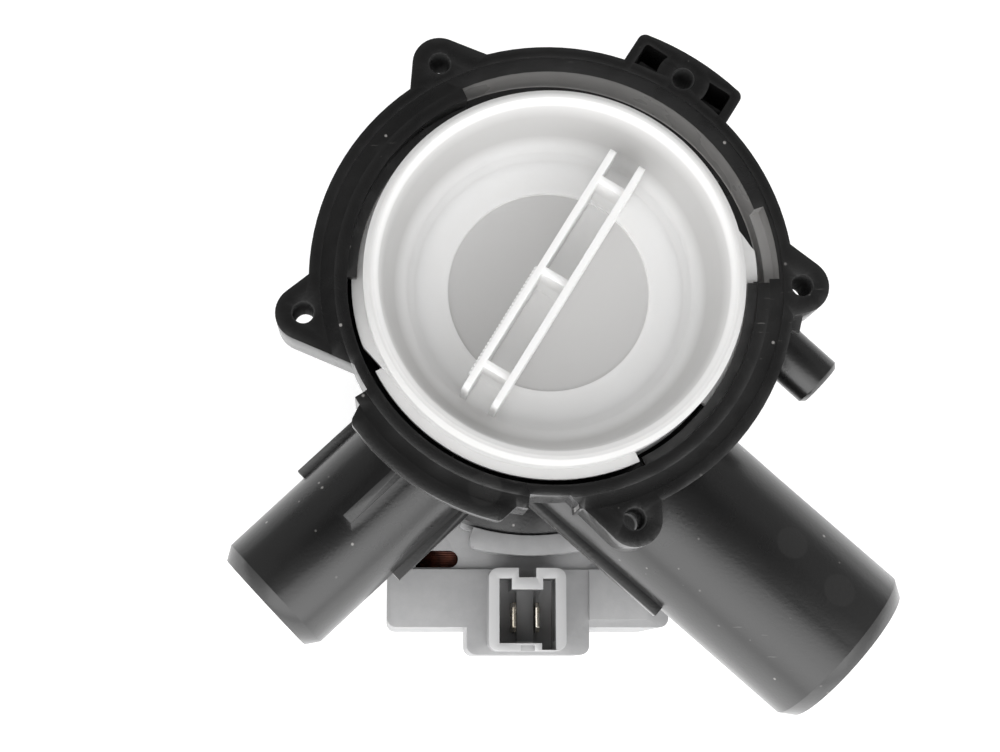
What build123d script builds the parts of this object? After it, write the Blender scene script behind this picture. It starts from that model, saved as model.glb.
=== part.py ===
from build123d import *
import math
import os

# Washer drain pump: a moulded sump with five screw ears and three hose ports, a twist-in
# lint filter in its mouth, and a permanent-magnet motor latched on its back.
# Millimetres. The pump axis is Z, the filter points up, and the origin is the centre of
# the flange's front face. Angles are in degrees, seen from the filter side. A rise is a level
# above the casing's rear face, where the motor is latched on.

# Flange and screw ears
rim_land = 4.7
flange_thickness = 3.5
face_step = 0.5
face_step_land = 2.1
lobe_land = 0.8
ear_circle_land = 1.4
ear_radius = 5.2
ear_hole_radius = 2.0
ear_depth = 11.0
bracket_angle = 57.8
bracket_width = 23.0
bracket_land = 4.9
bracket_corner = 1.6
pocket_outer_land = 2.3
pocket_inner_land = 3.9
pocket_outer_reach = 9.6
pocket_boss_radius = 5.2
pocket_corner = 0.8
gusset_reach = 6.8
gusset_drop = 8.5
gusset_thickness = 2.0
pocket_floor = 1.5

# Sump body
front_wall_setback = 2.5
relief_land = 0.4
mouth_depth = 9.0
land_depth = 4.4
land_gap = 0.8
chamber_gap = 0.3
chamber_taper = 2.7
chamber_wall = 2.6
chamber_depth = 45.0
partition = 2.0
eye_radius = 12.0
volute_radius = 26.0
volute_shift = 2.0
volute_height = 8.0
recess_radius = 34.0
recess_wall = 2.0
recess_depth = 3.0
collar_radius = 43.0
collar_height = 8.0
collar_sweep = 40.0

# Bayonet: helical ledges in the mouth, helical lugs on the cap
lead = 24.0
ledge_gap = 0.9
ledge_width = 1.8
wide_land = 2.4
notch_reach = 1.9
notch_depth = 5.0
ledge_thickness = 1.5
ledge_top = -0.5
lug_clearance = 0.4
lug_key_step = 0.4
lug_thickness = 2.0
lug_gap = 0.15
stop_reach = 0.8
shoulder_set_in = 1.1
shoulder_top = -1.0
shoulder_thickness = 2.0

# Ports
inlet_angle = 318.9
inlet_offset = -11.9
inlet_level = -29.0
inlet_radius = 17.7
inlet_wall = 2.3
inlet_reach = 91.0
outlet_angle = 223.5
outlet_offset = 4.2
outlet_level_rise = 13.6
outlet_radius = 13.5
outlet_wall = 2.2
outlet_reach = 80.2
throat_width = 13.0
throat_start = 10.0
throat_drop = 0.5
spigot_angle = 317.7
spigot_offset = 24.5
spigot_level = -17.5
spigot_radius = 5.2
spigot_wall = 1.7
spigot_reach = 51.3
spigot_start = 24.0
port_chamfer = 1.8
port_chamfer_length = 2.8
root_draft = 0.4
hose_seat_gap = 1.0
spigot_seat_land = 7.8
spigot_chamfer = 0.8
fin_reach = 1.9
fin_thickness = 3.0
fin_end = 57.3
crown_rib_width = 2.2
crown_rib_height = 1.6

# Filter cap, grip, strainer and seal
lip_top = 5.0
lip_set_in = 0.3
lip_width = 2.7
lip_round = 1.0
skirt_radius = 36.0
skirt_top = -7.0
skirt_bottom = -14.5
cap_wall = 2.0
bowl_rim = 1.8
bowl_edge_level = -3.4
dish_level = -10.1
disc_radius = 19.6
disc_step = 0.8
groove_top = -9.7
groove_width = 2.8
groove_depth = 1.6
grip_angle = 58.7
grip_length = 54.3
grip_spacing = 6.3
grip_wall = 1.3
grip_top = 3.0
grip_tip = 1.6
bridge_pitch = 20.8
bridge_wall = 1.5
bridge_drop = 0.8
seal_section = 1.15
strainer_gap = 0.8
strainer_wall = 2.0
strainer_ring = 3.0
strainer_bottom_rise = 15.6
strainer_bar = 3.0
strainer_slot = 3.2
seat_gap = 0.3

# Motor flange and rotor can
motor_flange_land = 1.0
motor_flange_thickness = 3.0
motor_spigot_gap = 2.4
tab_gap = 0.4
tab_wall = 4.2
tab_height = 3.6
tab_round = 2.0
casing_seal_section = 1.05
can_radius = 15.5
can_wall = 1.3
can_bottom_rise = -40.0
can_floor = 1.5
boss_radius = 8.0
boss_height = 6.0

# Rotor
shaft_radius = 2.0
shaft_front_rise = 9.4
shaft_rear_rise = -37.8
shaft_chamfer = 0.3
press_gap = 0.02
running_gap = 0.04
fit_gap = 0.05
bush_radius = 4.0
bush_length = 5.0
cushion_wall = 1.4
cover_thickness = 6.0
cover_front_rise = 2.0
cover_lip = 0.8
cover_bore = 3.4
washer_radius = 4.6
washer_thickness = 0.5
washer_bore = 2.1
magnet_radius = 13.4
magnet_length = 24.0
magnet_front_rise = -7.8
sleeve_radius = 4.6
dog_radius = 9.0
dog_height = 1.7
dog_hub_radius = 3.6
dog_sweep = 40.0
step_gap = 0.2
impeller_radius = 19.0
impeller_height = 6.2
impeller_rear_rise = 3.6
hub_radius = 6.0
hub_nose = 1.2
vane_count = 6
vane_wall = 1.6
web_thickness = 1.2
web_radius = 11.0

# Stator
core_front_rise = -11.0
core_stack = 20.0
core_radius = 27.0
core_half_width = 24.5
core_bore_gap = 0.4
pole_gap = 3.0
leg_offset = 16.2
leg_width = 10.0
yoke_front = -51.0
yoke_rear = -61.0
bobbin_wall = 1.2
bobbin_corner = 1.2
bobbin_start = -24.0
bobbin_end = -50.6
bobbin_flange = 0.9
winding_build = 2.4
winding_drop = 0.6

# Coil cover, connector and terminals
cover_front_level_rise = -3.6
coil_plate_drop = 0.8
cover_wall = 1.6
coil_plate_wall = 1.4
coil_half_width = 28.4
coil_start = -21.0
box_half_width = 30.5
box_start = -50.2
box_end = -62.6
middle_half_width = 13.2
middle_end = -68.5
middle_depth = 20.0
cover_split_rise = -21.0
cover_round = 2.0
socket_centre = -0.8
socket_width = 16.4
socket_start = -50.4
socket_end = -67.8
socket_rim_rise = 5.0
socket_wall = 2.2
socket_depth = 11.5
key_width = 6.6
key_depth = 2.3
key_notch = 3.7
key_notch_depth = 2.0
step_width = 3.0
step_height = 1.4
latch_width = 3.0
latch_height = 1.2
latch_depth = 2.5
island_top_rise = -2.5
island_gap = 0.3
panel_end = 26.6
panel_bottom_rise = -3.0
panel_height = 0.9
panel_round = 1.0
terminal_pitch = 5.0
terminal_width = 6.3
terminal_thickness = 0.8
terminal_tip_rise = 0.2
terminal_tail_rise = -9.5
terminal_centre = -60.6
terminal_chamfer = 1.0
terminal_hole = 0.7
slot_left = -24.4
slot_right = -15.2
slot_top = -46.1
slot_bottom = -49.8
overrun = 1.0

# Angles and shares
ear_angles = {"A": 117.3, "B": 188.5, "C": 359.4, "D": 288.1}
ear_roots = {"A": (106.0, 126.5), "B": (179.5, 204.0), "C": (352.0, 369.5), "D": (274.0, 295.5)}
relieved_roots = {"B": "last", "D": "first"}
lobe_sweep = (216.0, 257.5)
lobe_root_sweep = (211.5, 263.5)
full_rim_sweep = (-64.5, 197.0)
relief_sweeps = ((196.0, 211.5), (263.5, 276.0))
ledge_sweeps = ((-63.0, 0.0), (115.0, 180.0))
wide_sweep = (0.0, 115.0)
notch_sweep = (1.2, 20.5)
lug_sweeps = ((-38.0, 20.0), (142.0, 212.0))
lug_taper = 12.0
stop_sweep = (1.0, 21.0)
shoulder_sweep = (208.0, 295.0)
tab_angles = (270.0, 30.0, 150.0)
tab_sweep = 33.0
dish_mid_radius_share = 0.7
dish_mid_level_share = 0.3
window_sweep = (250.0, 340.0)
steps = 6
strainer_bars = 16

# Radii that follow from the filter's skirt, outwards
lip_radius = skirt_radius - lip_set_in
bowl_radius = lip_radius - lip_width - bowl_rim
groove_floor = skirt_radius - groove_depth
ledge_radius = skirt_radius + ledge_gap
opening_radius = ledge_radius + ledge_width
wide_radius = opening_radius + wide_land
notch_radius = wide_radius + notch_reach
lug_radii = (opening_radius - lug_clearance, opening_radius - lug_clearance - lug_key_step)
stop_radius = lug_radii[0] + stop_reach
shoulder_radius = opening_radius - shoulder_set_in
flange_radius = wide_radius + rim_land
face_step_radius = flange_radius - face_step_land
front_wall_radius = flange_radius - front_wall_setback
relief_radius = wide_radius - relief_land
lobe_radius = flange_radius + lobe_land
ear_circle_radius = flange_radius + ear_circle_land
bracket_radius = ear_circle_radius + bracket_land
land_radius = skirt_radius + land_gap
chamber_radius = skirt_radius + chamber_gap
chamber_outer_radius = chamber_radius + chamber_wall
chamber_floor_radius = chamber_radius - chamber_taper
strainer_radius = chamber_floor_radius - strainer_gap
lower_radius = recess_radius + recess_wall
motor_spigot_radius = recess_radius - motor_spigot_gap
motor_flange_radius = collar_radius + motor_flange_land
tab_inner_radius = collar_radius + tab_gap
tab_outer_radius = tab_inner_radius + tab_wall

# Levels that follow from the sizes above
neck_bottom = -(mouth_depth + land_depth)
hose_seat = fin_end + hose_seat_gap
casing_bottom = -(chamber_depth + partition + volute_height + recess_depth)
spigot_seat = spigot_reach - spigot_seat_land
shaft_front = casing_bottom + shaft_front_rise
shaft_rear = casing_bottom + shaft_rear_rise
cover_front = casing_bottom + cover_front_rise
magnet_front = casing_bottom + magnet_front_rise
impeller_rear = casing_bottom + impeller_rear_rise
core_front = casing_bottom + core_front_rise
can_bottom = casing_bottom + can_bottom_rise
cover_front_level = casing_bottom + cover_front_level_rise
cover_split = casing_bottom + cover_split_rise
socket_rim = casing_bottom + socket_rim_rise
island_top = casing_bottom + island_top_rise
panel_bottom = casing_bottom + panel_bottom_rise
terminal_tip = casing_bottom + terminal_tip_rise
terminal_tail = casing_bottom + terminal_tail_rise
outlet_level = casing_bottom + outlet_level_rise
strainer_bottom = casing_bottom + strainer_bottom_rise
volute_top = -(chamber_depth + partition)
volute_bottom = volute_top - volute_height
dog_top = cover_front - cover_thickness - 2 * step_gap - washer_thickness
dog_bottom = dog_top - dog_height
magnet_rear = magnet_front - magnet_length
rear_boss_top = can_bottom + can_floor + boss_height
flange_front = casing_bottom - seat_gap
flange_rear = flange_front - motor_flange_thickness


def heading(angle):
    """A flat unit vector at an angle."""
    return (math.cos(math.radians(angle)), math.sin(math.radians(angle)), 0)


def polar(radius, angle):
    x, y, _ = heading(angle)
    return (radius * x, radius * y)


def disc(radius, top, bottom):
    return Pos(0, 0, bottom) * Cylinder(radius, top - bottom, align=(Align.CENTER, Align.CENTER, Align.MIN))


def cone(top_radius, bottom_radius, top, bottom):
    body = Cone(bottom_radius, top_radius, top - bottom, align=(Align.CENTER, Align.CENTER, Align.MIN))
    return Pos(0, 0, bottom) * body


def tube(outer, inner, top, bottom):
    return disc(outer, top, bottom) - disc(inner, top, bottom)


def block(x_span, y_span, z_span):
    """A box between two X, two Y and two Z values."""
    size = [abs(b - a) for a, b in (x_span, y_span, z_span)]
    middle = [(a + b) / 2 for a, b in (x_span, y_span, z_span)]
    return Pos(*middle) * Box(*size)


def prism(points, top, bottom):
    face = make_face(Polyline(*points, close=True))
    return Pos(0, 0, bottom) * extrude(face, top - bottom, dir=(0, 0, 1))


def sector(radius, start, end, top, bottom):
    """A pie slice about the pump axis."""
    first, middle, last = (polar(radius, a) for a in (start, (start + end) / 2, end))
    rim = Line((0, 0), first) + ThreePointArc(first, middle, last) + Line(last, (0, 0))
    return Pos(0, 0, bottom) * extrude(make_face(rim), top - bottom, dir=(0, 0, 1))


def tangent_points(point, centre, radius):
    """The two points where lines from a point touch a circle."""
    dx, dy = point[0] - centre[0], point[1] - centre[1]
    away = math.degrees(math.atan2(dy, dx))
    swing = math.degrees(math.acos(radius / math.hypot(dx, dy)))
    ends = [polar(radius, away + side * swing) for side in (1, -1)]
    return [(centre[0] + x, centre[1] + y) for x, y in ends]


def helical_band(inner, outer_at, start, end, top_at, thickness):
    """A band that climbs with the bayonet's lead, cut true to round by its caller."""
    faces = []
    for i in range(steps + 1):
        angle = start + (end - start) * i / steps
        top = top_at(angle)
        corners = []
        for radius, level in ((inner, top), (outer_at(angle), top), (outer_at(angle), top - thickness),
                              (inner, top - thickness)):
            x, y = polar(radius, angle)
            corners.append((x, y, level))
        faces.append(make_face(Polyline(*corners, close=True)))
    return loft(faces, ruled=True)


def port_frame(angle, offset, level):
    """A plane whose Z runs out along a port and whose X lies flat, to the port's left."""
    x, y = polar(offset, angle + 90)
    return Plane(origin=(x, y, level), x_dir=heading(angle + 90), z_dir=heading(angle))


def along(plane, shape, start):
    return plane * (Pos(0, 0, start) * shape)


def rod(plane, radius, start, end):
    return along(plane, Cylinder(radius, end - start, align=(Align.CENTER, Align.CENTER, Align.MIN)), start)


def hose_pipe(plane, radius, start, seat, end, bevel, bevel_length):
    """A hose port: a drafted root, then a true cylinder for the hose with a bevelled end."""
    root = along(plane, cone(radius, radius + root_draft, seat - start, 0), start)
    tip = along(plane, cone(radius - bevel, radius, bevel_length, 0), end - bevel_length)
    return root + rod(plane, radius, seat, end - bevel_length) + tip


def save(node, shape):
    shape.label = node
    export_step(shape, "parts/" + node + ".step")


# Casing: one black moulding with the flange, ears, filter chamber, volute and ports

def ear(name):
    centre = polar(ear_circle_radius, ear_angles[name])
    first, last = ear_roots[name]
    low = relief_radius if relieved_roots.get(name) == "first" else flange_radius
    high = relief_radius if relieved_roots.get(name) == "last" else flange_radius
    start, end = polar(low, first), polar(high, last)

    def past_ear(point):
        return angle_of(point, ear_angles[name])

    start_touch = min(tangent_points(start, centre, ear_radius), key=past_ear)
    end_touch = max(tangent_points(end, centre, ear_radius), key=past_ear)
    web = prism([(0, 0), start, start_touch, centre, end_touch, end], 0, -ear_depth)
    return web + Pos(centre[0], centre[1], 0) * disc(ear_radius, 0, -ear_depth)


def angle_of(point, about):
    """The angle of a point past a direction, between -180 and 180."""
    angle = math.degrees(math.atan2(point[1], point[0])) - about
    return (angle + 180) % 360 - 180


def bracket():
    """The fifth fixing: a wide bracket with a pocket each side of its screw boss."""
    turn = Rot(0, 0, bracket_angle)
    half = bracket_width / 2
    body = turn * block((relief_radius, bracket_radius), (-half, half), (-ear_depth, 0))
    body = body & disc(bracket_radius, 0, -ear_depth)
    body = fillet(body.edges().filter_by(Axis.Z).sort_by_distance((0, 0, 0))[-2:], bracket_corner)
    boss = disc(pocket_boss_radius, overrun, -ear_depth - overrun)
    boss = turn * Pos(ear_circle_radius, 0, 0) * boss
    pocket_span = (ear_circle_radius - pocket_inner_land, ear_circle_radius + pocket_outer_land)
    reach = (-pocket_outer_reach, pocket_outer_reach)
    pockets = block(pocket_span, reach, (-ear_depth + pocket_floor, overrun))
    pockets = turn * fillet(pockets.edges().filter_by(Axis.Z), pocket_corner)
    return body - (pockets - boss)


def gusset():
    """A small web in the corner between the flange and the right-hand ear."""
    x, y = polar(ear_circle_radius, ear_angles["C"])
    corner = polar(front_wall_radius, ear_roots["C"][0])
    points = [(corner[0], y), (x + ear_hole_radius, y), (x, y - gusset_drop), (corner[0], y - gusset_reach)]
    return prism(points, -flange_thickness, -flange_thickness - gusset_thickness)


def casing():
    front = disc(relief_radius, 0, neck_bottom)
    rim = sector(flange_radius, *full_rim_sweep, 0, -flange_thickness)
    wall = disc(front_wall_radius, 0, neck_bottom)
    for start, end in relief_sweeps:
        wall -= sector(flange_radius, start, end, 0, neck_bottom) - front
    root = [polar(relief_radius, a) for a in lobe_root_sweep]
    tips = [polar(lobe_radius, a) for a in lobe_sweep]
    lobe = sector(lobe_radius, *lobe_sweep, 0, -flange_thickness)
    lobe += prism([(0, 0), root[0], *tips, root[1]], 0, -flange_thickness)
    corner = lobe.edges().filter_by(Axis.Z).sort_by_distance((0, 0, 0))[-2:]
    lobe = fillet(corner, bracket_corner)
    lower = cone(chamber_outer_radius, lower_radius, neck_bottom, -chamber_depth)
    body = front + wall + rim + lobe + lower + disc(lower_radius, -chamber_depth, casing_bottom)
    for angle in tab_angles:
        start, end = angle - collar_sweep / 2, angle + collar_sweep / 2
        body += sector(collar_radius, start, end, casing_bottom + collar_height, casing_bottom)
    for name in ear_angles:
        body += ear(name)
    body += bracket() + gusset()

    # the three hose ports with their parting-line fins, solid for now
    inlet = port_frame(inlet_angle, inlet_offset, inlet_level)
    outlet = port_frame(outlet_angle, outlet_offset, outlet_level)
    spigot = port_frame(spigot_angle, spigot_offset, spigot_level)
    bevel = (port_chamfer, port_chamfer_length)
    body += hose_pipe(inlet, inlet_radius, 0, hose_seat, inlet_reach, *bevel)
    body += hose_pipe(outlet, outlet_radius, 0, hose_seat, outlet_reach, *bevel)
    bevel = (spigot_chamfer, spigot_chamfer)
    body += hose_pipe(spigot, spigot_radius, spigot_start, spigot_seat, spigot_reach, *bevel)
    half_fin = fin_thickness / 2
    outlet_half = outlet_radius + fin_reach
    half_rib = crown_rib_width / 2
    crown = (outlet_radius - overrun, outlet_radius + crown_rib_height)
    body += inlet * block((-inlet_radius - fin_reach, 0), (-half_fin, half_fin), (0, fin_end))
    body += outlet * block((-outlet_half, outlet_half), (-half_fin, half_fin), (0, fin_end))
    body += outlet * block((-half_rib, half_rib), crown, (lower_radius, fin_end))

    # the filter's mouth, seal land and chamber
    body -= disc(opening_radius, overrun, -mouth_depth)
    body -= sector(wide_radius, *wide_sweep, overrun, -mouth_depth)
    body -= sector(notch_radius, *notch_sweep, overrun, -notch_depth)
    body -= disc(face_step_radius, overrun, -face_step) - disc(wide_radius, overrun, -face_step)
    body -= disc(land_radius, -mouth_depth + overrun, neck_bottom)
    body -= disc(chamber_radius, -mouth_depth, neck_bottom)
    body -= cone(chamber_radius, chamber_floor_radius, neck_bottom, -chamber_depth)
    for start, end in ledge_sweeps:
        ledge = helical_band(ledge_radius - overrun, lambda a: front_wall_radius, start, end,
                             lambda a, last=end: ledge_top - lead * (last - a) / 360, ledge_thickness)
        body += ledge & tube(opening_radius + overrun, ledge_radius, 0, -mouth_depth)
    body -= disc(eye_radius, -chamber_depth + overrun, volute_top - overrun)
    x, y = polar(volute_shift, outlet_angle)
    body -= Pos(x, y, 0) * disc(volute_radius, volute_top, volute_bottom - overrun)
    body -= disc(recess_radius, volute_bottom, casing_bottom - overrun)

    # bores of the ports, each opening into its own chamber
    body -= rod(inlet, inlet_radius - inlet_wall, 0, inlet_reach + overrun)
    body -= rod(outlet, outlet_radius - outlet_wall, chamber_outer_radius, outlet_reach + overrun)
    half_throat = throat_width / 2
    throat_levels = (volute_bottom - outlet_level, volute_top - throat_drop - outlet_level)
    throat_reach = (throat_start, chamber_outer_radius + overrun)
    body -= outlet * block((-half_throat, half_throat), throat_levels, throat_reach)
    body -= rod(spigot, spigot_radius - spigot_wall, spigot_start, spigot_reach + overrun)
    for angle in (*ear_angles.values(), bracket_angle):
        x, y = polar(ear_circle_radius, angle)
        body -= Pos(x, y, 0) * disc(ear_hole_radius, overrun, -ear_depth - overrun)
    return body


# Filter: cap with its grip and lugs, strainer basket and seal ring

def bowl_profile():
    """Half section of the cap, turned about the pump axis."""
    disc_level = dish_level - disc_step
    lip_inner = lip_radius - lip_width
    groove_bottom = groove_top - groove_width
    skirt_inner = groove_floor - cap_wall
    under = cap_wall
    mid_radius = disc_radius + (bowl_radius - disc_radius) * dish_mid_radius_share
    mid_level = dish_level + (bowl_edge_level - dish_level) * dish_mid_level_share
    pieces = Line((0, disc_level), (disc_radius, disc_level))
    pieces += Line((disc_radius, disc_level), (disc_radius, dish_level))
    pieces += ThreePointArc((disc_radius, dish_level), (mid_radius, mid_level),
                            (bowl_radius, bowl_edge_level))
    pieces += Polyline((bowl_radius, bowl_edge_level), (lip_inner, lip_top - lip_round),
                       (lip_inner + lip_round, lip_top), (lip_radius - lip_round, lip_top),
                       (lip_radius, lip_top - lip_round), (lip_radius, skirt_top),
                       (skirt_radius, skirt_top), (skirt_radius, groove_top),
                       (groove_floor, groove_top), (groove_floor, groove_bottom),
                       (skirt_radius, groove_bottom), (skirt_radius, skirt_bottom),
                       (skirt_inner, skirt_bottom), (skirt_inner, bowl_edge_level - under),
                       (disc_radius, disc_level - under), (0, disc_level - under), (0, disc_level))
    return make_face(pieces)


def lug_reach(radius, end):
    """A lug's outer radius along its sweep: its leading end tapers down to the skirt."""
    taper_from = end - lug_taper

    def reach(angle):
        if angle <= taper_from:
            return radius + overrun
        return radius - (radius - lip_radius) * (angle - taper_from) / (end - taper_from)
    return reach


def lug(start, end, base, radius):
    """A lug that runs under a ledge; base is the angle where that ledge ends."""
    underside = ledge_top - ledge_thickness - lug_gap
    band = helical_band(lip_radius - lip_round, lug_reach(radius, end), start, end,
                        lambda a: underside + lead * (a - base) / 360, lug_thickness)
    return band & tube(radius, lip_radius - lip_round, lip_top, skirt_bottom)


def filter_cap():
    cap = revolve(Plane.XZ * bowl_profile(), Axis.Z)
    for (start, end), (_, base), radius in zip(lug_sweeps, ledge_sweeps, lug_radii):
        cap += lug(start, end, base, radius)
    cap += lug(*stop_sweep, ledge_sweeps[0][1], stop_radius)
    shoulder = sector(shoulder_radius, *shoulder_sweep, shoulder_top, shoulder_top - shoulder_thickness)
    cap += shoulder - disc(lip_radius - lip_round, shoulder_top, shoulder_top - shoulder_thickness)
    turn = Rot(0, 0, grip_angle)
    half_length = grip_length / 2
    floor = dish_level - disc_step - cap_wall / 2
    grip = Part()
    for side in (1, -1):
        centre = side * grip_spacing / 2
        sides = (centre - grip_wall / 2, centre + grip_wall / 2)
        bar = block((-half_length, half_length), sides, (floor, grip_top))
        grip += fillet(bar.edges().filter_by(Axis.Y).group_by(Axis.Z)[-1], grip_tip)
    for k in (-1, 0, 1):
        x = k * bridge_pitch
        grip += block((x - bridge_wall / 2, x + bridge_wall / 2), (-grip_spacing / 2, grip_spacing / 2),
                      (floor, grip_top - bridge_drop))
    # the grip stands on the dish, so what would show below it is trimmed
    bowl_under = revolve(Plane.XZ * make_face(Polyline(
        (0, floor), (disc_radius, floor), (bowl_radius, bowl_edge_level - cap_wall / 2),
        (bowl_radius, grip_top), (0, grip_top), close=True)), Axis.Z)
    cap += (turn * grip) & bowl_under
    return cap


def filter_seal():
    level = groove_top - groove_width / 2
    return Pos(0, 0, level) * Torus(groove_floor + fit_gap + seal_section, seal_section)


def strainer():
    top = skirt_bottom - seat_gap
    ring_inner = strainer_radius - strainer_wall
    basket = tube(strainer_radius, ring_inner, top, top - strainer_ring)
    floor_top = strainer_bottom + strainer_wall
    basket += disc(strainer_radius, floor_top, strainer_bottom)
    middle = (top - strainer_ring + floor_top) / 2
    basket += tube(strainer_radius, ring_inner, middle + strainer_wall / 2, middle - strainer_wall / 2)
    window = sector(strainer_radius + overrun, *window_sweep, top - strainer_ring, floor_top)
    basket -= window - disc(ring_inner - overrun, top, strainer_bottom)
    for i in range(strainer_bars):
        angle = i * 360 / strainer_bars
        if window_sweep[0] < angle < window_sweep[1]:
            continue
        turn = Rot(0, 0, angle)
        sides = (-strainer_bar / 2, strainer_bar / 2)
        bar = block((ring_inner, strainer_radius), sides, (strainer_bottom, top))
        basket += (turn * bar) & disc(strainer_radius, top, strainer_bottom)
    for k in (-2, -1, 0, 1, 2):
        x = k * 2 * strainer_slot
        half = math.sqrt(ring_inner ** 2 - x ** 2) - strainer_bar
        basket -= block((x - strainer_slot / 2, x + strainer_slot / 2), (-half, half),
                        (strainer_bottom - overrun, floor_top + overrun))
    return basket


# Motor flange with the rotor can, and the seal that closes the volute

def rotor_can():
    body = disc(lower_radius, flange_front, flange_rear)
    body += disc(motor_spigot_radius, volute_bottom - seat_gap, flange_rear)
    body += disc(can_radius, flange_rear + overrun, can_bottom)
    for angle in tab_angles:
        start, end = angle - collar_sweep / 2, angle + collar_sweep / 2
        body += sector(motor_flange_radius, start, end, flange_front, flange_rear)
        start, end = angle - tab_sweep / 2, angle + tab_sweep / 2
        tab = sector(tab_outer_radius, start, end, flange_front + tab_height, flange_rear)
        tab = fillet(tab.edges().filter_by(Axis.Z).sort_by_distance((0, 0, 0))[-2:], tab_round)
        body += tab - disc(tab_inner_radius, flange_front + tab_height, flange_front)
    bore = can_radius - can_wall
    body -= disc(bore, volute_bottom, can_bottom + can_floor)
    body += tube(boss_radius, bush_radius + cushion_wall + fit_gap, rear_boss_top, can_bottom)
    body += disc(boss_radius, can_bottom + can_floor, can_bottom)
    return body


def casing_seal():
    radius = (recess_radius + motor_spigot_radius) / 2
    level = (volute_bottom - seat_gap + flange_front) / 2
    return Pos(0, 0, level) * Torus(radius, casing_seal_section)


# Rotor: impeller and shaft, the loose magnet with its start dog, and the bearings

def bushes():
    pieces = {}
    for name, top in (("front", cover_front - step_gap), ("rear", rear_boss_top - step_gap)):
        bottom = top - bush_length
        pieces[name + "_bush"] = tube(bush_radius, shaft_radius + running_gap, top, bottom)
        cushion = tube(bush_radius + cushion_wall, bush_radius + fit_gap, top, bottom)
        pieces[name + "_bush_cushion"] = cushion
    return pieces


def bearing_cover():
    outer = can_radius - can_wall - fit_gap
    body = disc(outer, cover_front, cover_front - cover_thickness)
    seat = bush_radius + cushion_wall + fit_gap
    body -= disc(seat, cover_front + overrun, cover_front - cover_thickness + cover_lip)
    body -= disc(cover_bore, cover_front, cover_front - cover_thickness - overrun)
    return body


def drive_dog():
    body = disc(dog_hub_radius, dog_top, dog_bottom)
    body += sector(dog_radius, -dog_sweep / 2, dog_sweep / 2, dog_top, dog_bottom)
    return body - disc(shaft_radius + press_gap, dog_top, dog_bottom)


def magnet_sleeve():
    body = disc(sleeve_radius, magnet_front, magnet_rear)
    body += disc(dog_radius, dog_bottom - step_gap, magnet_front)
    arm = sector(dog_radius, 180 - dog_sweep / 2, 180 + dog_sweep / 2, dog_top, magnet_front)
    body += arm - disc(dog_hub_radius + step_gap, dog_top, magnet_front)
    return body - disc(shaft_radius + running_gap, dog_top, magnet_rear)


def rotor_magnet():
    return tube(magnet_radius, sleeve_radius + press_gap, magnet_front, magnet_rear)


def shaft():
    body = disc(shaft_radius, shaft_front, shaft_rear)
    return chamfer(body.edges().filter_by(GeomType.CIRCLE), shaft_chamfer)


def washers():
    front = cover_front - cover_thickness - step_gap
    pieces = {}
    for name, top in (("front_washer", front), ("rear_washer", magnet_rear - step_gap)):
        pieces[name] = tube(washer_radius, washer_bore, top, top - washer_thickness)
    return pieces


def impeller():
    top = impeller_rear + impeller_height
    body = disc(hub_radius, top + hub_nose, impeller_rear)
    body += disc(web_radius, impeller_rear + web_thickness, impeller_rear)
    for i in range(vane_count):
        vane = block((0, impeller_radius), (-vane_wall / 2, vane_wall / 2), (impeller_rear, top))
        body += Rot(0, 0, i * 360 / vane_count) * vane
    body = body & disc(impeller_radius, top + hub_nose, impeller_rear)
    return body - disc(shaft_radius + press_gap, shaft_front + press_gap, impeller_rear)


# Stator: laminated core with two legs, two bobbins and their windings

def stator_core():
    rear = core_front - core_stack
    inner = leg_offset - leg_width / 2
    outer = leg_offset + leg_width / 2
    body = disc(core_radius, core_front, rear)
    across = (-core_half_width, core_half_width)
    body = body & block(across, (-core_radius, core_radius), (rear, core_front))
    for side in (1, -1):
        leg = (side * inner, side * outer)
        body += block(leg, (yoke_rear, 0), (rear, core_front))
    body += block((-outer, outer), (yoke_rear, yoke_front), (rear, core_front))
    body -= disc(can_radius + core_bore_gap, core_front, rear)
    body -= block((-pole_gap / 2, pole_gap / 2), (0, core_radius), (rear, core_front))
    return body - block((-inner, inner), (yoke_front, 0), (rear, core_front))


def racetrack(half_width, start, end):
    """A round-ended sleeve about a core leg, along Y."""
    straight = core_stack - leg_width
    face = Plane.XZ * SlotCenterToCenter(straight, 2 * half_width, rotation=90)
    body = extrude(face, abs(end - start), dir=(0, -1, 0))
    return Pos(0, start, core_front - core_stack / 2) * body


def bobbin_and_winding(side):
    x = side * leg_offset
    sleeve = leg_width / 2 + fit_gap + bobbin_wall + bobbin_corner
    flange = sleeve + winding_build
    body = racetrack(sleeve, bobbin_start, bobbin_end)
    for start in (bobbin_start, bobbin_end + bobbin_flange):
        body += racetrack(flange, start, start - bobbin_flange)
    hole = leg_width / 2 + fit_gap
    middle = core_front - core_stack / 2
    reach = core_stack / 2 + fit_gap
    length = (bobbin_start + overrun, bobbin_end - overrun)
    body -= block((-hole, hole), length, (middle - reach, middle + reach))
    winding = racetrack(flange - winding_drop, bobbin_start - bobbin_flange - fit_gap,
                        bobbin_end + bobbin_flange + fit_gap)
    winding -= racetrack(sleeve + fit_gap, bobbin_start, bobbin_end)
    return Pos(x, 0, 0) * body, Pos(x, 0, 0) * winding


# Coil cover in two halves, with the connector moulded on the front one

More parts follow.
